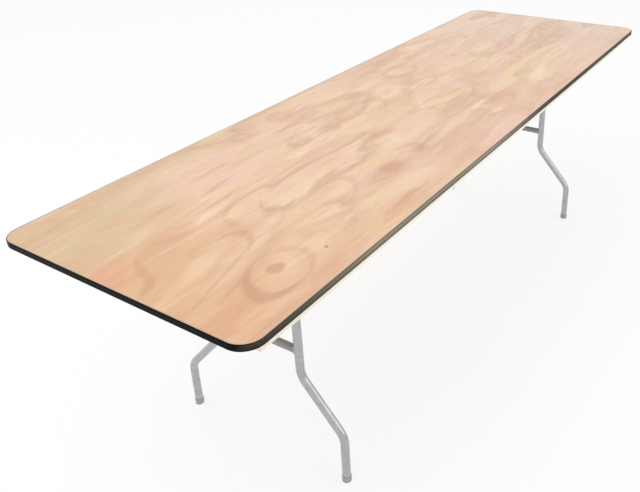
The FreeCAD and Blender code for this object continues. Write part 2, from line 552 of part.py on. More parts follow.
for end, end_sign in ENDS.items():
    name = end.title()

    # Hinge brackets, their pins, and the legs that swing on them
    bushes = []
    for side, side_sign in SIDES.items():
        local_sign = -end_sign * side_sign
        leg_y = f"({local_sign} * {LEG_UPPER_Y})"
        half_pin = f"({HINGE_GAP} / 2 + plate_thickness)"
        tag = f"{name}{side.title()}"
        bracket = clevis(f"Bracket{tag}", HINGE_GAP, "hinge_plate_length", "hinge_screw_pitch", leg_y,
                         "pin_diameter")
        end_piece(bracket, f"hinge_bracket_{side}", end)
        pin = rivet(f"Pin{tag}", "pin_diameter", "pin_head_diameter", f"({leg_y} - {half_pin})",
                    f"({leg_y} + {half_pin})", z=PIVOT_Z)
        end_piece(pin, f"hinge_pin_{side}", end)
        turned = Rotation(Vector(0, 0, 1), 0 if local_sign > 0 else 180)
        end_piece(leg_tube(f"Leg{tag}"), f"leg_tube_{side}", end, turned)
        end_piece(foot_cap(f"Cap{tag}"), f"foot_cap_{side}", end, turned)
        bushes.append(ring(f"Bush{tag}", "bush_diameter", "(pin_diameter + 2 * running_clearance)",
                           f"({HINGE_GAP} - 2 * bush_clearance)", leg_y, PIVOT_Z))
    end_piece(group(f"Bushes{name}", *bushes), "pivot_bushes", end)
    end_piece(crossbar(f"Crossbar{name}"), "crossbar", end)
    collars = []
    collar_bore = "(crossbar_diameter + 2 * pin_clearance)"
    for side, sign in SIDES.items():
        collar_y = f"({sign} * (bar_thickness / 2 + brace_clearance + collar_width / 2))"
        collars.append(ring(f"Collar{name}{side}", "collar_diameter", collar_bore, "collar_width", collar_y,
                            "crossbar_height"))
    end_piece(group(f"Collars{name}", *collars), "crossbar_collars", end)

    # Brace hanger under the top, with a short rivet through each ear
    hanger = clevis(f"Hanger{name}", HANGER_GAP, "hanger_plate_length", "hanger_screw_pitch", "0",
                    "rivet_diameter")
    end_piece(hanger, "brace_hanger", end, x="brace_offset")
    hanger_rivets, knee_rivets = [], []
    inner, outer = "strap_offset", "(strap_offset + strap_thickness)"
    for side, sign in SIDES.items():
        faces = [f"({sign} * {face})" for face in (inner, f"({HANGER_GAP} / 2 + plate_thickness)")]
        hanger_rivets.append(rivet(f"HangerRivet{name}{side}", "rivet_diameter", "rivet_head_diameter",
                                   *faces[::sign], z=PIVOT_Z))
        shank = rod(f"KneeShank{name}{side}", "rivet_diameter", "strap_thickness", UPPER_ARM,
                    f"({sign} * (strap_offset + strap_thickness / 2))", "0")
        cone = bind(doc.addObject("Part::Cone", f"KneeHead{name}{side}"), Height="head_height",
                    Radius1="rivet_head_diameter / 2", Radius2="rivet_head_diameter / 2 * head_taper")
        seat(cone, UPPER_ARM, f"{sign} * {outer}", "0", Rotation(Vector(1, 0, 0), -90 * sign))
        knee_rivets.append(fuse(f"KneeRivet{name}{side}", shank, cone))
    end_piece(group(f"HangerRivets{name}", *hanger_rivets), "hanger_rivets", end, x="brace_offset")

    # Upper straps with their stop pin, and the lower bar with the pin of the knee
    upper_place = {"end": end, "turn": upper_turn, "x": "brace_offset", "z": PIVOT_Z}
    for side, side_sign in SIDES.items():
        flat_strap = strap(f"Strap{name}{side.title()}", -end_sign * side_sign)
        end_piece(flat_strap, f"brace_strap_{side}", **upper_place)
    end_piece(group(f"KneeRivets{name}", *knee_rivets), "knee_rivets", **upper_place)
    stop = rivet(f"Stop{name}", "stop_diameter", "stop_head_diameter", f"(-{outer})", outer,
                 f"({UPPER_ARM} + stop_distance)", f"(-{STOP_SIDE})")
    end_piece(stop, "stop_pin", **upper_place)
    lower_place = {"end": end, "turn": lower_turn, "z": "crossbar_height"}
    end_piece(lower_bar(f"Bar{name}"), "brace_bar", **lower_place)
    knee_length = "(2 * (strap_offset - brace_clearance))"
    knee_core = rod(f"KneeCore{name}", "knee_diameter", knee_length, LOWER_ARM, "0", "0")
    end_piece(group(f"KneePin{name}", knee_core), "knee_pin", **lower_place)

doc.recompute()

# Every object has to be sound before anything is written
failed = [item.Name for item in doc.Objects if {"Invalid", "Error"} & set(item.State)]
failed += [item.Label for item in pieces if item.Shape.isNull() or not item.Shape.isValid()]
if failed:
    raise RuntimeError("not sound: " + ", ".join(failed))
os.makedirs("parts", exist_ok=True)
for item in pieces:
    item.Shape.exportStep(f"parts/{item.Label}.step")
    print(f"{item.Label}: {len(item.Shape.Solids)} solids, {item.Shape.Volume / 1000:.1f} cm3")
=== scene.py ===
import math
import bpy
from mathutils import Matrix, Vector


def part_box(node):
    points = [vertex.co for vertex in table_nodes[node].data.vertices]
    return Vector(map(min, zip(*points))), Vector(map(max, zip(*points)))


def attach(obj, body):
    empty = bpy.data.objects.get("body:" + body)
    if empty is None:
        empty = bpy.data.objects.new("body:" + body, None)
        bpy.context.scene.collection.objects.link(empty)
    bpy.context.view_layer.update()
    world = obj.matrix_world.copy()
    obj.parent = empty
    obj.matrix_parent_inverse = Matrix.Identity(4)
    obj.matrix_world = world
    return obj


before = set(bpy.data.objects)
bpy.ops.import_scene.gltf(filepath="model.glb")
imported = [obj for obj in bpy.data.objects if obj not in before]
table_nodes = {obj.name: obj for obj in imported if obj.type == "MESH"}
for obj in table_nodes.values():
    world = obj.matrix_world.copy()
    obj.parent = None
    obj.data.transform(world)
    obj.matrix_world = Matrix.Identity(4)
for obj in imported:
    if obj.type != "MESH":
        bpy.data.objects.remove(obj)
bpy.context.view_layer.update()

# Plywood top: one sheet of softwood plywood, sanded and clear lacquered, screwed to the runners from below.
# The face veneer was peeled round the log, so the knife crossed each growth ring again and again and left
# flames, loops and eyes down the table's length. The back veneer is a duller sheet with a figure of its own.
top_low, top_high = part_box("plywood_top")
VENEER_CREAM = (0.835, 0.600, 0.380, 1.0)
VENEER_PEACH = (0.800, 0.525, 0.335, 1.0)
VENEER_HONEY = (0.705, 0.405, 0.210, 1.0)
VENEER_PINK = (0.800, 0.505, 0.375, 1.0)
VENEER_TAN = (0.660, 0.470, 0.262, 1.0)
VENEER_STRAW = (0.810, 0.585, 0.305, 1.0)
VENEER_ROSE = (0.790, 0.500, 0.380, 1.0)
VENEER_ORANGE = (0.720, 0.370, 0.210, 1.0)
VENEER_LATEWOOD = (0.580, 0.300, 0.165, 1.0)
VENEER_CORE = (0.480, 0.210, 0.085, 1.0)
# Painted sheen: a paler, greyer tone laid over the far end of the top
VENEER_PAINTED_SHEEN = (0.720, 0.545, 0.420, 1.0)
VENEER_PALE = (0.900, 0.690, 0.460, 1.0)
VENEER_BACK = (0.560, 0.430, 0.300, 1.0)
KNOT_BROWN = (0.130, 0.060, 0.030, 1.0)
RIM_DARK = (0.330, 0.290, 0.250, 1.0)
BACK_SHARE = 0.42
BACK_SHIFT = 7.3
PORE_SHARE = 0.5
LACQUER_WEIGHT = 0.45
LACQUER_ROUGHNESS = 0.22
# How many blotches each layer of the figure has to a metre along, across and through the sheet, how far some
# layers are shifted so that no two fall together, and how far the wavering layers push the others about
WAVER_STRETCH = (2.3, 7.0, 1.0)
WAVER_REACH = (0.070, 0.022, 0.0)
FEATHER_STRETCH = (16.0, 110.0, 1.0)
FEATHER_REACH = (0.020, 0.0012, 0.0)
MIDDLE_GREY = (0.5, 0.5, 0.5)
FLAME_STRETCH = (1.7, 6.0, 1.0)
FLAME_SHIFT = (3.1, 0.7, 0.0)
FLAME_RINGS = 3.8
SWIRL_STRETCH = (5.5, 15.0, 1.0)
SWIRL_SHIFT = (1.3, 4.2, 0.0)
SWIRL_RINGS = 1.1
GROWTH_LINES = 4.0
STRENGTH_STRETCH = (1.6, 4.0, 1.0)
STRENGTH_SHIFT = (7.0, 2.0, 0.0)
WARMTH_STRETCH = (0.9, 2.6, 1.0)
PINK_STRETCH = (1.3, 3.4, 1.0)
PINK_SHIFT = (5.0, 9.0, 0.0)
BLUSH_STRETCH = (6.0, 15.0, 1.0)
BLUSH_SHIFT = (4.0, 8.0, 0.0)
BAND_STRETCH = (4.5, 26.0, 1.0)
STREAK_STRETCH = (4.0, 85.0, 1.0)
GRAIN_STRETCH = (26.0, 900.0, 900.0)
# Patches where the knife ran level with a ring, and two broad ones over the ends that hold painted shade and
# painted sheen: their colour, how far they take it on, how sharp their rim is, and for each one its place
# along and across the table, half length, half width and turn in degrees
SOFT_RIM = (0.12, 0.80)
SHARP_RIM = (0.22, 0.62)
VENEER_PATCHES = (
    # partly painted shade: the veneer's own honey tone, laid broadly over the near end to make it warmer and
    # darker
    (VENEER_HONEY, 0.82, SOFT_RIM, ((-1.180, -0.080, 0.320, 0.380, 0),)),
    (VENEER_HONEY, 0.35, SOFT_RIM, ((-0.720, -0.370, 0.320, 0.090, 0),)),
    # painted sheen: the far end made paler and greyer, as the lacquer looks when it reflects the white
    # surround
    (VENEER_PAINTED_SHEEN, 0.55, SOFT_RIM, ((1.200, 0.000, 0.420, 0.700, 0),)),
    (VENEER_TAN, 0.75, SOFT_RIM, ((-0.800, 0.400, 0.700, 0.120, 0),)),
    (VENEER_TAN, 0.98, SOFT_RIM, ((-1.150, 0.250, 0.280, 0.180, 0),)),
    (VENEER_ORANGE, 0.98, SOFT_RIM, ((-1.180, 0.022, 0.066, 0.048, 45),)),
    (VENEER_ORANGE, 0.80, SOFT_RIM, ((-1.165, -0.302, 0.070, 0.060, 10),)),
    (VENEER_ORANGE, 0.58, SOFT_RIM, (
        (-1.012, 0.028, 0.060, 0.016, -30), (-1.045, 0.196, 0.070, 0.012, -8),
        (-0.958, 0.150, 0.050, 0.010, -12), (-0.430, -0.198, 0.050, 0.026, -18),
        (-0.625, -0.338, 0.055, 0.022, -10), (-0.930, -0.352, 0.060, 0.020, 0),
        (0.180, -0.240, 0.130, 0.026, 8), (-0.290, -0.060, 0.070, 0.022, -10))),
    (VENEER_PINK, 0.85, SOFT_RIM, (
        (-0.705, -0.020, 0.060, 0.028, -12), (-0.800, -0.038, 0.040, 0.022, 0),
        (-0.265, 0.180, 0.070, 0.026, -24), (-0.878, 0.090, 0.040, 0.016, -40),
        (0.950, -0.220, 0.130, 0.040, -6), (0.800, 0.020, 0.080, 0.080, 0),
        (0.480, 0.160, 0.120, 0.040, 8))),
    (VENEER_PALE, 0.60, SOFT_RIM, (
        (0.460, -0.250, 0.120, 0.024, 20), (0.095, -0.195, 0.070, 0.016, 12),
        (-0.900, 0.030, 0.090, 0.016, 0), (-0.560, 0.060, 0.090, 0.016, 6),
        (-0.350, -0.085, 0.100, 0.034, -15), (-0.720, -0.245, 0.090, 0.024, 5))),
    (VENEER_PALE, 0.38, SOFT_RIM, (
        (-1.000, -0.165, 0.170, 0.030, 15), (-1.030, -0.100, 0.110, 0.026, 18))),
    (VENEER_PALE, 0.28, SOFT_RIM, ((-1.000, -0.262, 0.062, 0.042, 12),)),
    (VENEER_CORE, 0.52, SHARP_RIM, ((-0.994, -0.250, 0.024, 0.018, 0),)),
    (VENEER_CORE, 0.34, SOFT_RIM, (
        (-1.130, -0.018, 0.066, 0.014, 60), (-1.172, -0.075, 0.045, 0.014, 30))),
    (VENEER_CORE, 0.30, SOFT_RIM, (
        (-0.440, 0.115, 0.050, 0.020, 10), (-0.310, -0.200, 0.034, 0.016, -10),
        (-0.220, -0.196, 0.040, 0.012, 0), (-0.450, -0.205, 0.046, 0.030, -12),
        (-0.580, -0.322, 0.060, 0.016, 6), (-0.800, -0.080, 0.040, 0.024, 30))),
    (VENEER_LATEWOOD, 0.40, SOFT_RIM, (
        (-0.540, -0.322, 0.060, 0.008, -6), (-1.085, -0.225, 0.075, 0.005, 9),
        (-1.070, -0.178, 0.140, 0.006, 15), (-0.840, 0.060, 0.080, 0.007, 4),
        (0.036, -0.284, 0.065, 0.007, -20), (0.139, -0.068, 0.070, 0.008, -8),
        (0.206, 0.042, 0.070, 0.008, 6), (-0.728, 0.198, 0.080, 0.008, 4),
        (-0.773, 0.124, 0.080, 0.008, 8), (-0.630, 0.030, 0.070, 0.007, 4))),
)
# Loops of dark latewood, each heavy at one end: place along and across the table, half length, half width,
# the way from its heavy end to its light end in degrees, how much of its half length the opening is shifted
# that way, and how dark it is. The opening is a little larger than the loop, so that the light end is thin.
VENEER_LOOPS = (
    (-1.012, -0.266, 0.090, 0.057, 12, 0.36, 0.92),
    (-0.990, -0.262, 0.092, 0.060, 195, 0.22, 0.40),
    (-0.972, -0.108, 0.066, 0.044, 196, 0.40, 0.52),
    (-0.756, -0.062, 0.056, 0.040, 40, 0.42, 0.50),
    (-0.665, -0.168, 0.108, 0.052, 192, 0.14, 0.38),
    (-0.350, -0.192, 0.070, 0.034, 190, 0.40, 0.42),
    (-0.420, 0.125, 0.080, 0.030, 10, 0.40, 0.40),
    (-0.110, 0.080, 0.100, 0.040, 205, 0.40, 0.40),
    (0.290, -0.150, 0.150, 0.042, 5, 0.20, 0.38),
    (0.640, 0.200, 0.150, 0.046, 188, 0.20, 0.38),
)
LOOP_OPENING = 1.06
# Pin knots: place along and across the table
PIN_KNOTS = ((-0.866, -0.293), (-0.481, 0.340), (0.513, 0.123), (0.498, -0.035), (0.848, 0.074))
PIN_KNOT_RADIUS = 0.0032
PIN_KNOT_HALF_LENGTH = 1.6 * PIN_KNOT_RADIUS
PIN_KNOT_SHARE = 0.75
# A thin darker line on the veneer where it meets the edging
RIM_CORNER = 0.048
RIM_WIDTH = 0.004
RIM_SHARE = 0.85


def new_finish(name):
    """A material and its shader."""
    material = bpy.data.materials.new(name)
    material.use_nodes = True
    return material, material.node_tree.nodes["Principled BSDF"]


def feed(shader, name, socket):
    """Links a node's output to one of the shader's inputs."""
    shader.id_data.links.new(socket, shader.inputs[name])


def node(shader, kind, *given, out=0, **settings):
    """Adds a node beside a shader, feeds its inputs in order with outputs or values, and gives an output."""
    tree = shader.id_data
    made = tree.nodes.new("ShaderNode" + kind)
    for name, setting in settings.items():
        setattr(made, name, setting)
    for socket, value in zip(made.inputs, given):
        if isinstance(value, bpy.types.NodeSocket):
            tree.links.new(value, socket)
        elif value is not None:
            socket.default_value = value
    return made.outputs[out]


def calc(shader, operation, *given):
    """A sum worked on plain numbers."""
    return node(shader, "Math", *given, operation=operation)


def vector_calc(shader, operation, *given):
    """A sum worked on places or colours."""
    out = "Value" if operation in ("DOT_PRODUCT", "LENGTH") else "Vector"
    return node(shader, "VectorMath", *given, operation=operation, out=out)


def place(shader):
    """Where a point lies on the table, in metres."""
    return node(shader, "TexCoord", out="Object")


def noise(shader, stretch, detail=2.0, roughness=0.5, distortion=0.0, shift=(0.0, 0.0, 0.0), where=None,
          coloured=False):
    """Soft random values from 0 to 1, with that many blotches to a metre along each axis."""
    scale = 1.0
    moved = vector_calc(shader, "MULTIPLY_ADD", where or place(shader), stretch, shift)
    return node(shader, "TexNoise", moved, None, scale, detail, roughness, None, None, None, distortion,
                out="Color" if coloured else "Fac")


def ramp(shader, factor, *stops):
    """A value eased through (position, value) stops."""
    if len(stops) == 2:
        (start, first), (end, last) = stops
        return node(shader, "MapRange", factor, start, end, first, last, interpolation_type="SMOOTHSTEP")
    tree = shader.id_data
    made = tree.nodes.new("ShaderNodeValToRGB")
    tree.links.new(factor, made.inputs["Fac"])
    band = made.color_ramp
    band.interpolation = "EASE"
    while len(band.elements) < len(stops):
        band.elements.new(1.0)
    for element, (position, value) in zip(band.elements, stops):
        element.position = position
        element.color = (value, value, value, 1.0)
    return made.outputs["Color"]


def mix(shader, factor, first, second, blend="MIX"):
    """The second colour over the first."""
    factor_input, first_colour, second_colour, mixed_colour = 0, 6, 7, 2
    given = [None] * (second_colour + 1)
    given[factor_input] = factor
    given[first_colour] = first
    given[second_colour] = second
    return node(shader, "Mix", *given, out=mixed_colour, data_type="RGBA", blend_type=blend)


def bump(shader, height, strength, depth):
    """Raises the surface by a height map; the depth is in metres."""
    tree = shader.id_data
    made = tree.nodes.new("ShaderNodeBump")
    made.inputs["Strength"].default_value = strength
    made.inputs["Distance"].default_value = depth
    tree.links.new(height, made.inputs["Height"])
    feed(shader, "Normal", made.outputs["Normal"])


def mound(shader, where, along, across, half_length, half_width, turn=0.0):
    """A soft mound: 1 at its centre, fading to 0 a little past its half length and half width."""
    centre = (along, across, 0.0)
    turned = node(shader, "VectorRotate", where, centre, None, math.radians(-turn))
    offset = vector_calc(shader, "SUBTRACT", turned, centre)
    scaled = vector_calc(shader, "MULTIPLY", offset, (1.0 / half_length, 1.0 / half_width, 0.0))
    squared = vector_calc(shader, "DOT_PRODUCT", scaled, scaled)
    return calc(shader, "POWER", math.exp(-1.0), squared)


def finish_pieces(beginnings, finish):
    """Gives a finish to every piece whose name begins in one of these ways."""
    for name, piece in table_nodes.items():
        if name.startswith(beginnings):
            piece.data.materials.clear()
            piece.data.materials.append(finish)


lacquered_plywood, veneer = new_finish("lacquered_plywood")
height = node(veneer, "SeparateXYZ", place(veneer), out="Z")
back = node(veneer, "MapRange", height, top_low.z, top_high.z, 1.0, 0.0)
further_along = node(veneer, "CombineXYZ", calc(veneer, "MULTIPLY", back, BACK_SHIFT))
sheet = vector_calc(veneer, "ADD", place(veneer), further_along)
waver = noise(veneer, WAVER_STRETCH, where=sheet, coloured=True)
waver = vector_calc(veneer, "SUBTRACT", waver, MIDDLE_GREY)
wavering = vector_calc(veneer, "MULTIPLY_ADD", waver, WAVER_REACH, sheet)
feather = noise(veneer, FEATHER_STRETCH, detail=3.0, roughness=0.6, where=sheet, coloured=True)
feather = vector_calc(veneer, "SUBTRACT", feather, MIDDLE_GREY)
wavering = vector_calc(veneer, "MULTIPLY_ADD", feather, FEATHER_REACH, wavering)
flames = noise(veneer, FLAME_STRETCH, roughness=0.42, distortion=0.4, shift=FLAME_SHIFT, where=wavering)
swirls = noise(veneer, SWIRL_STRETCH, distortion=0.5, shift=SWIRL_SHIFT, where=wavering)
figure = calc(veneer, "MULTIPLY", flames, FLAME_RINGS)
ring = calc(veneer, "FRACT", calc(veneer, "MULTIPLY_ADD", swirls, SWIRL_RINGS, figure))
strength = noise(veneer, STRENGTH_STRETCH, detail=1.0, shift=STRENGTH_SHIFT, where=sheet)
strength = ramp(veneer, strength, (0.30, 0.20), (0.70, 0.72))
latewood = ramp(veneer, ring, (0.0, 0.0), (0.30, 0.06), (0.58, 0.46), (0.80, 0.90), (0.93, 0.42), (1.0, 0.0))
warmth = noise(veneer, WARMTH_STRETCH, distortion=0.3, where=sheet)
warmth = ramp(veneer, warmth, (0.3, 0.0), (0.7, 1.0))
pinkness = noise(veneer, PINK_STRETCH, distortion=0.3, shift=PINK_SHIFT, where=sheet)
pinkness = ramp(veneer, pinkness, (0.40, 0.0), (0.72, 0.9))
tone = mix(veneer, warmth, VENEER_CREAM, VENEER_PEACH)
tone = mix(veneer, pinkness, tone, VENEER_PINK)
blushes = noise(veneer, BLUSH_STRETCH, detail=3.0, roughness=0.65, distortion=0.6, shift=BLUSH_SHIFT,
                where=wavering)
tone = mix(veneer, ramp(veneer, blushes, (0.30, 0.90), (0.49, 0.0)), tone, VENEER_STRAW)
tone = mix(veneer, ramp(veneer, blushes, (0.51, 0.0), (0.70, 0.90)), tone, VENEER_ROSE)
for colour, share, (rim, full), patches in VENEER_PATCHES:
    for patch in patches:
        cover = ramp(veneer, mound(veneer, wavering, *patch), (rim, 0.0), (full, share))
        tone = mix(veneer, cover, tone, colour)
for along, across, half_length, half_width, turn, shift, share in VENEER_LOOPS:
    slide = Matrix.Rotation(math.radians(turn), 2) @ Vector((shift * half_length, 0.0))
    outside = mound(veneer, wavering, along, across, half_length, half_width, turn)
    inside = mound(veneer, wavering, along + slide.x, across + slide.y, half_length * LOOP_OPENING,
                   half_width * LOOP_OPENING, turn)
    loop = calc(veneer, "MULTIPLY", ramp(veneer, outside, (0.24, 0.0), (0.42, share)),
                ramp(veneer, inside, (0.33, 1.0), (0.46, 0.0)))
    tone = mix(veneer, loop, tone, VENEER_LATEWOOD)
tone = mix(veneer, calc(veneer, "MULTIPLY", latewood, strength), tone, VENEER_LATEWOOD)
lines = calc(veneer, "FRACT", calc(veneer, "MULTIPLY", ring, GROWTH_LINES))
line_shade = ramp(veneer, lines, (0.0, 1.0), (0.55, 0.995), (0.88, 0.970), (1.0, 1.0))
tone = mix(veneer, 1.0, tone, line_shade, "MULTIPLY")
bands = noise(veneer, BAND_STRETCH, distortion=0.3, where=wavering)
tone = mix(veneer, ramp(veneer, bands, (0.50, 0.0), (0.80, 0.40)), tone, VENEER_LATEWOOD)
tone = mix(veneer, ramp(veneer, bands, (0.22, 0.32), (0.48, 0.0)), tone, VENEER_PALE)
streaks = noise(veneer, STREAK_STRETCH, detail=3.0, roughness=0.6, where=wavering)
tone = mix(veneer, ramp(veneer, streaks, (0.45, 0.0), (0.80, 0.32)), tone, VENEER_LATEWOOD)
grain = noise(veneer, GRAIN_STRETCH, detail=3.0, roughness=0.65)
pores = ramp(veneer, grain, (0.30, 0.84), (0.52, 1.0))
tone = mix(veneer, PORE_SHARE, tone, pores, "MULTIPLY")
for along, across in PIN_KNOTS:
    knot = mound(veneer, sheet, along, across, PIN_KNOT_HALF_LENGTH, PIN_KNOT_RADIUS)
    tone = mix(veneer, calc(veneer, "MULTIPLY", knot, PIN_KNOT_SHARE), tone, KNOT_BROWN)
tone = mix(veneer, calc(veneer, "MULTIPLY", back, BACK_SHARE), tone, VENEER_BACK)
straight_part = (top_high.x - RIM_CORNER, top_high.y - RIM_CORNER, top_high.z)
past_straight = vector_calc(veneer, "ABSOLUTE", place(veneer))
past_straight = vector_calc(veneer, "SUBTRACT", past_straight, straight_part)
past_straight = vector_calc(veneer, "MAXIMUM", past_straight, (0.0, 0.0, 0.0))
towards_rim = vector_calc(veneer, "LENGTH", past_straight)
# a thin darker line along the veneer's rim, next to the edging
rim_darkening = node(veneer, "MapRange", towards_rim, RIM_CORNER - RIM_WIDTH, RIM_CORNER, 0.0, RIM_SHARE)
tone = mix(veneer, rim_darkening, tone, RIM_DARK)
feed(veneer, "Base Color", tone)
feed(veneer, "Roughness", ramp(veneer, grain, (0.25, 0.50), (0.75, 0.38)))
veneer.inputs["Coat Weight"].default_value = LACQUER_WEIGHT
veneer.inputs["Coat Roughness"].default_value = LACQUER_ROUGHNESS
bump(veneer, grain, strength=0.12, depth=0.0002)
finish_pieces("plywood_top", lacquered_plywood)

# Edging: one extruded strip of black vinyl round the top, with a rounded face and a tongue that is hammered
# into a saw groove in the plywood's edge. On the two long sides its upper half is painted lighter grey,
# most of all towards the near end: a painted sheen for the bright surroundings reflected in the face.
edge_low, edge_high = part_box("edge_bumper")
VINYL_BLACK = (0.0065, 0.0050, 0.0036, 1.0)
VINYL_SCUFF = (0.0450, 0.0390, 0.0310, 1.0)
# Painted sheen: the lighter grey of bright surroundings reflected in the long sides' rounded face
VINYL_PAINTED_SHEEN = (0.2920, 0.2510, 0.1950, 1.0)
VINYL_SHINE = 0.03
DIE_LINE_STRETCH = (1.5, 1.5, 900.0)
SCUFF_STRETCH = (9.0, 9.0, 160.0)
# Painted sheen on the long sides: its blotch size, and the middle, half length and half width of its
# strongest stretch
SHEEN_PATCH_STRETCH = (2.5, 2.5, 2.5)
SHEEN_MIDDLE = -0.48
SHEEN_HALF_LENGTH = 0.70
SHEEN_HALF_WIDTH = 4.0
black_vinyl, vinyl = new_finish("black_vinyl")
die_lines = noise(vinyl, DIE_LINE_STRETCH)
rub = noise(vinyl, SCUFF_STRETCH, detail=4.0, roughness=0.62, distortion=0.4)
scuffs = ramp(vinyl, rub, (0.58, 0.0), (0.74, 0.45))
coating = mix(vinyl, scuffs, VINYL_BLACK, VINYL_SCUFF)
facing = node(vinyl, "SeparateXYZ", node(vinyl, "TexCoord", out="Normal"), out="Y")
long_side = ramp(vinyl, calc(vinyl, "ABSOLUTE", facing), (0.30, 0.0), (0.80, 1.0))
height = node(vinyl, "SeparateXYZ", place(vinyl), out="Z")
level = node(vinyl, "MapRange", height, edge_low.z, edge_high.z, 0.0, 1.0)
upper_half = ramp(vinyl, level, (0.0, 0.12), (0.35, 0.70), (0.70, 1.0), (1.0, 1.0))
patchy = noise(vinyl, SHEEN_PATCH_STRETCH, detail=3.0, roughness=0.6)
patchy = ramp(vinyl, patchy, (0.25, 0.70), (0.70, 1.0))
sheen_near_end = mound(vinyl, place(vinyl), SHEEN_MIDDLE, 0.0, SHEEN_HALF_LENGTH, SHEEN_HALF_WIDTH)
sheen_near_end = ramp(vinyl, sheen_near_end, (0.30, 0.14), (0.80, 1.0))
# painted sheen: the upper half of the long sides made lighter grey, strongest towards the near end
painted_sheen = calc(vinyl, "MULTIPLY", calc(vinyl, "MULTIPLY", long_side, upper_half),
              calc(vinyl, "MULTIPLY", sheen_near_end, patchy))
feed(vinyl, "Base Color", mix(vinyl, painted_sheen, coating, VINYL_PAINTED_SHEEN))
feed(vinyl, "Roughness", ramp(vinyl, rub, (0.30, 0.22), (0.70, 0.36)))
vinyl.inputs["Specular IOR Level"].default_value = VINYL_SHINE
bump(vinyl, die_lines, strength=0.20, depth=0.0002)
finish_pieces("edge_bumper", black_vinyl)

# Runners: planed strips of pale hardwood on edge under the top, with eased lower edges, two down the sides
# and three across. Each is glued and screwed up into the plywood from below.
HARDWOOD_PALE = (0.940, 0.910, 0.805, 1.0)
HARDWOOD_LINE = (0.860, 0.775, 0.610, 1.0)
FIBRE_SHARE = 0.5
LINES_ALONG = 1.2
LINES_ACROSS = 48.0
FIBRES_ALONG = 22.0
FIBRES_ACROSS = 800.0


def planed_hardwood(name, line_stretch, fibre_stretch):
    """Pale planed hardwood with its grain down the runner."""
    finish, wood = new_finish(name)
    lines = noise(wood, line_stretch, detail=3.0, roughness=0.55, distortion=0.6)
    fibres = noise(wood, fibre_stretch, roughness=0.6)
    tint = mix(wood, ramp(wood, lines, (0.35, 0.0), (0.70, 0.75)), HARDWOOD_PALE, HARDWOOD_LINE)
    tint = mix(wood, FIBRE_SHARE, tint, ramp(wood, fibres, (0.30, 0.80), (0.60, 1.0)), "MULTIPLY")
    feed(wood, "Base Color", tint)
    feed(wood, "Roughness", ramp(wood, fibres, (0.25, 0.66), (0.75, 0.50)))
    bump(wood, fibres, strength=0.22, depth=0.0003)
    return finish


lengthways_hardwood = planed_hardwood("lengthways_hardwood", (LINES_ALONG, LINES_ACROSS, LINES_ACROSS),
                                      (FIBRES_ALONG, FIBRES_ACROSS, FIBRES_ACROSS))
crossways_hardwood = planed_hardwood("crossways_hardwood", (LINES_ACROSS, LINES_ALONG, LINES_ACROSS),
                                     (FIBRES_ACROSS, FIBRES_ALONG, FIBRES_ACROSS))
finish_pieces("side_runner", lengthways_hardwood)
finish_pieces(("end_runner", "centre_rail"), crossways_hardwood)

# Fasteners: zinc-plated wood screws, hinge pins, rivets, bushes and collars, turned or headed from bar, with
# the slightly yellow passivation of bulk-plated hardware.
FASTENER_NAMES = ("runner_screws", "bracket_screws", "hinge_pin", "hanger_rivets", "knee_rivets", "stop_pin",
                  "knee_pin", "pivot_bushes", "crossbar_collars")
PASSIVATED_ZINC = (0.560, 0.545, 0.490, 1.0)
DULL_ZINC = (0.390, 0.385, 0.370, 1.0)
POLISH_SPREAD = 0.12


def plated_steel(name, bright, dull, blotches, line_stretch, roughness, metallic=1.0):
    """Zinc plating: blotches of brighter and duller crystal, and the lines that drawing or rolling left."""
    finish, steel = new_finish(name)
    clouds = noise(steel, (blotches, blotches, blotches), detail=3.0, roughness=0.6, distortion=0.3)
    lines = noise(steel, line_stretch, detail=3.0, roughness=0.6)
    feed(steel, "Base Color", mix(steel, ramp(steel, clouds, (0.30, 0.0), (0.72, 1.0)), bright, dull))
    polish = calc(steel, "MULTIPLY_ADD", calc(steel, "ADD", clouds, lines), POLISH_SPREAD, roughness)
    feed(steel, "Roughness", polish)
    steel.inputs["Metallic"].default_value = metallic
    bump(steel, lines, strength=0.10, depth=0.0001)
    return finish


fastener_zinc = plated_steel("fastener_zinc", PASSIVATED_ZINC, DULL_ZINC, blotches=220.0,
                             line_stretch=(900.0, 900.0, 90.0), roughness=0.22)
finish_pieces(FASTENER_NAMES, fastener_zinc)

# Brackets and braces: hinge brackets, brace hangers, upper straps and lower bars, blanked and bent from flat
# strip, then zinc plated. The brackets are screwed up into the plywood and the braces are riveted.
BRACKET_NAMES = ("hinge_bracket", "brace_hanger", "brace_strap", "brace_bar")
STRIP_BRIGHT = (0.500, 0.510, 0.520, 1.0)
STRIP_DULL = (0.370, 0.378, 0.385, 1.0)
strip_zinc = plated_steel("strip_zinc", STRIP_BRIGHT, STRIP_DULL, blotches=90.0,
                          line_stretch=(40.0, 900.0, 900.0), roughness=0.26)
finish_pieces(BRACKET_NAMES, strip_zinc)

# Leg frames: two lengths of steel tube, a little under an inch across, each bent twice on a former so that
# the pair makes a wishbone. A crossbar is coped to fit between them and welded in, and then the whole frame
# is zinc plated.
TUBE_BRIGHT = (0.450, 0.462, 0.477, 1.0)
TUBE_DULL = (0.382, 0.394, 0.408, 1.0)
# Painted shade: the crossbars get a darker, duller copy of the tube zinc for the shadow under the table
BAR_SHADED_BRIGHT = (0.330, 0.350, 0.370, 1.0)
BAR_SHADED_DULL = (0.255, 0.272, 0.290, 1.0)
tube_zinc = plated_steel("tube_zinc", TUBE_BRIGHT, TUBE_DULL, blotches=60.0,
                         line_stretch=(700.0, 700.0, 9.0), roughness=0.04, metallic=0.95)
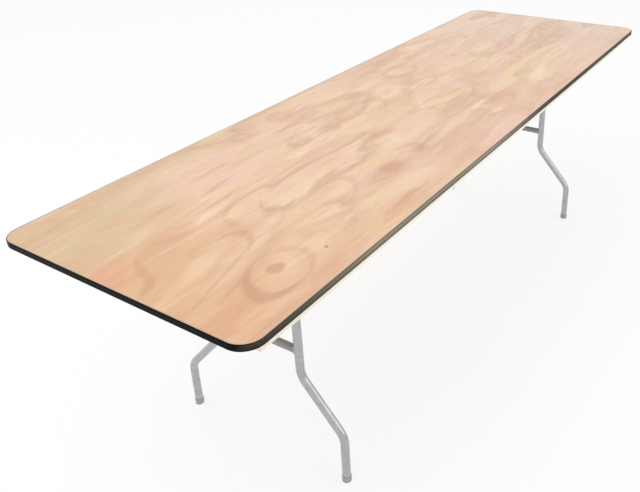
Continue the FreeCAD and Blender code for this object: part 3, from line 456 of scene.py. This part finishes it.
# painted shade: the crossbars' darker zinc
shaded_bar_zinc = plated_steel("shaded_bar_zinc", BAR_SHADED_BRIGHT, BAR_SHADED_DULL, blotches=60.0,
                        line_stretch=(700.0, 9.0, 700.0), roughness=0.40, metallic=0.45)
finish_pieces("leg_tube", tube_zinc)
finish_pieces(("crossbar_near", "crossbar_far"), shaded_bar_zinc)

# Weld beads: a fillet of weld metal run round each end of a crossbar, where it meets the leg tube. The run
# leaves ripples in each bead, and the beads are plated with the frame.
BEAD_RADIUS = 0.0024
BEAD_RIPPLE = 0.00035
BEAD_STEPS = 96
BEAD_SIDES = 12
RIPPLES = 22


def weld_bead(name, leg, bar):
    """A bead along the line where the crossbar's surface runs into the leg tube's."""
    leg_low, leg_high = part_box(leg)
    bar_low, bar_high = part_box(bar)
    middle = (bar_low + bar_high) / 2
    side = math.copysign(1.0, leg_low.y + leg_high.y)
    leg_radius = (leg_high.x - leg_low.x) / 2
    bar_radius = (bar_high.x - bar_low.x) / 2
    leg_axis = side * (min(abs(leg_low.y), abs(leg_high.y)) + leg_radius)
    centres = []
    for step in range(BEAD_STEPS):
        angle = 2 * math.pi * step / BEAD_STEPS
        across = bar_radius * math.cos(angle)
        upwards = bar_radius * math.sin(angle)
        inward = math.sqrt(leg_radius ** 2 - across ** 2)
        centres.append(Vector((middle.x + across, leg_axis - side * inward, middle.z + upwards)))
    verts = []
    for step, centre in enumerate(centres):
        along = (centres[(step + 1) % BEAD_STEPS] - centres[step - 1]).normalized()
        out = centre - middle
        out = (out - along * out.dot(along)).normalized()
        beside = along.cross(out)
        radius = BEAD_RADIUS + BEAD_RIPPLE * math.sin(2 * math.pi * RIPPLES * step / BEAD_STEPS)
        for turn in range(BEAD_SIDES):
            angle = 2 * math.pi * turn / BEAD_SIDES
            verts.append(centre + radius * (math.cos(angle) * out + math.sin(angle) * beside))
    faces = []
    for step in range(BEAD_STEPS):
        following = (step + 1) % BEAD_STEPS
        for turn in range(BEAD_SIDES):
            beyond = (turn + 1) % BEAD_SIDES
            faces.append((step * BEAD_SIDES + turn, step * BEAD_SIDES + beyond,
                          following * BEAD_SIDES + beyond, following * BEAD_SIDES + turn))
    mesh = bpy.data.meshes.new(name)
    mesh.from_pydata(verts, [], faces)
    mesh.shade_smooth()
    mesh.materials.append(tube_zinc)
    bead = bpy.data.objects.new(name, mesh)
    bpy.context.scene.collection.objects.link(bead)
    return bead


for end in ("near", "far"):
    for side in ("left", "right"):
        bead = weld_bead(f"weld_bead_{side}_{end}", f"leg_tube_{side}_{end}", f"crossbar_{end}")
        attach(bead, f"leg_frame_{end}")

# Foot caps: thick grey plastic thimbles pushed over the tubes' lower ends, worn matte and darker in specks
# where they meet the floor.
CAP_GREY = (0.370, 0.374, 0.380, 1.0)
CAP_DARK = (0.150, 0.145, 0.138, 1.0)
CAP_WEAR_STRETCH = (160.0, 160.0, 60.0)
DARK_HEIGHT = 0.008
grey_plastic, cap = new_finish("grey_plastic")
wear = noise(cap, CAP_WEAR_STRETCH, detail=4.0, roughness=0.6)
height = node(cap, "SeparateXYZ", place(cap), out="Z")
near_floor = node(cap, "MapRange", height, 0.0, DARK_HEIGHT, 1.0, 0.0)
# darker in specks towards the floor
feed(cap, "Base Color", mix(cap, calc(cap, "MULTIPLY", near_floor, wear), CAP_GREY, CAP_DARK))
feed(cap, "Roughness", ramp(cap, wear, (0.30, 0.45), (0.70, 0.62)))
bump(cap, wear, strength=0.10, depth=0.0003)
finish_pieces("foot_cap", grey_plastic)

# Studio: a pale floor that looks white but still takes the table's shadow, and a white surround. Both are at
# full white only in view and in reflections, so that they put no more light on the table than plain ones.
FLOOR_HALF = 14.0
FLOOR_WHITE = (0.97, 0.97, 0.97, 1.0)
FLOOR_ROUGHNESS = 0.9
SHADOW_SHARE = 0.26
SURROUND_WHITE = (1.0, 1.0, 1.0, 1.0)
SURROUND_LEVEL = 0.88


def in_view(shader):
    """1 for what the camera sees, straight or in a reflection or glass, and 0 for light on the table."""
    path = shader.id_data.nodes.new("ShaderNodeLightPath")
    seen = calc(shader, "MAXIMUM", path.outputs["Is Camera Ray"], path.outputs["Is Glossy Ray"])
    return calc(shader, "MAXIMUM", seen, path.outputs["Is Transmission Ray"])


floor_mesh = bpy.data.meshes.new("floor")
floor_corners = [(-FLOOR_HALF, -FLOOR_HALF, 0), (FLOOR_HALF, -FLOOR_HALF, 0),
                 (FLOOR_HALF, FLOOR_HALF, 0), (-FLOOR_HALF, FLOOR_HALF, 0)]
floor_mesh.from_pydata(floor_corners, [], [(0, 1, 2, 3)])
floor = bpy.data.objects.new("floor", floor_mesh)
bpy.context.scene.collection.objects.link(floor)
white_floor, floor_shader = new_finish("white_floor")
floor_shader.inputs["Base Color"].default_value = FLOOR_WHITE
floor_shader.inputs["Roughness"].default_value = FLOOR_ROUGHNESS
floor_tree = white_floor.node_tree
glow = floor_tree.nodes.new("ShaderNodeEmission")
glow_share = calc(floor_shader, "MULTIPLY", in_view(floor_shader), 1.0 - SHADOW_SHARE)
glowing_floor = node(floor_shader, "MixShader", glow_share, floor_shader.outputs["BSDF"],
                     glow.outputs["Emission"])
floor_tree.links.new(glowing_floor, floor_tree.nodes["Material Output"].inputs["Surface"])
floor_mesh.materials.append(white_floor)

surround = bpy.data.worlds.new("surround")
bpy.context.scene.world = surround
surround.use_nodes = True
background = surround.node_tree.nodes["Background"]
background.inputs["Color"].default_value = SURROUND_WHITE
brightness = node(background, "MapRange", in_view(background), 0.0, 1.0, SURROUND_LEVEL, 1.0)
feed(background, "Strength", brightness)

# Lamps: two round softboxes aimed at the middle of the top, a large one high over the near left corner and a
# smaller one beside the right long side. Each row gives a name, a place, a width in metres and the watts.
SOFTBOXES = (
    ("key_softbox", (-2.2, 1.2, 4.0), 4.4, 44.0),
    ("fill_softbox", (0.4, -3.8, 2.0), 3.2, 22.0),
)
for name, spot, width, power in SOFTBOXES:
    lamp = bpy.data.lights.new(name, "AREA")
    lamp.shape = "DISK"
    lamp.size = width
    lamp.energy = power
    softbox = bpy.data.objects.new(name, lamp)
    softbox.location = spot
    aim = Vector((0.0, 0.0, top_high.z)) - softbox.location
    softbox.rotation_euler = aim.to_track_quat("-Z", "Y").to_euler()
    bpy.context.scene.collection.objects.link(softbox)

# Camera: at the photograph's viewpoint, worked out from the corners of the top and the feet. The picture was
# cropped, so the lens is shifted to keep the same framing.
CAMERA_SPOT = Vector((-1.9303, -1.1459, 1.6058))
HEADING = math.radians(33.615)
DOWNWARDS = math.radians(25.427)
TILT = math.radians(-1.583)
PICTURE_WIDTH, PICTURE_HEIGHT = 640, 492
FOCAL_PIXELS = 728.0
LENS_CENTRE = (379.6, 163.3)
camera_data = bpy.data.cameras.new("camera")
camera_data.lens = FOCAL_PIXELS * camera_data.sensor_width / PICTURE_WIDTH
camera_data.shift_x = (PICTURE_WIDTH / 2 - LENS_CENTRE[0]) / PICTURE_WIDTH
camera_data.shift_y = (LENS_CENTRE[1] - PICTURE_HEIGHT / 2) / PICTURE_WIDTH
camera = bpy.data.objects.new("camera", camera_data)
forward = Vector((math.cos(DOWNWARDS) * math.cos(HEADING), math.cos(DOWNWARDS) * math.sin(HEADING),
                  -math.sin(DOWNWARDS)))
level_right = forward.cross(Vector((0.0, 0.0, 1.0))).normalized()
level_up = level_right.cross(forward)
right = level_right * math.cos(TILT) + level_up * math.sin(TILT)
up = level_up * math.cos(TILT) - level_right * math.sin(TILT)
stance = Matrix((right, up, -forward)).transposed().to_4x4()
stance.translation = CAMERA_SPOT
camera.matrix_world = stance
bpy.context.scene.collection.objects.link(camera)
bpy.context.scene.camera = camera
bpy.context.scene.view_settings.view_transform = "Standard"
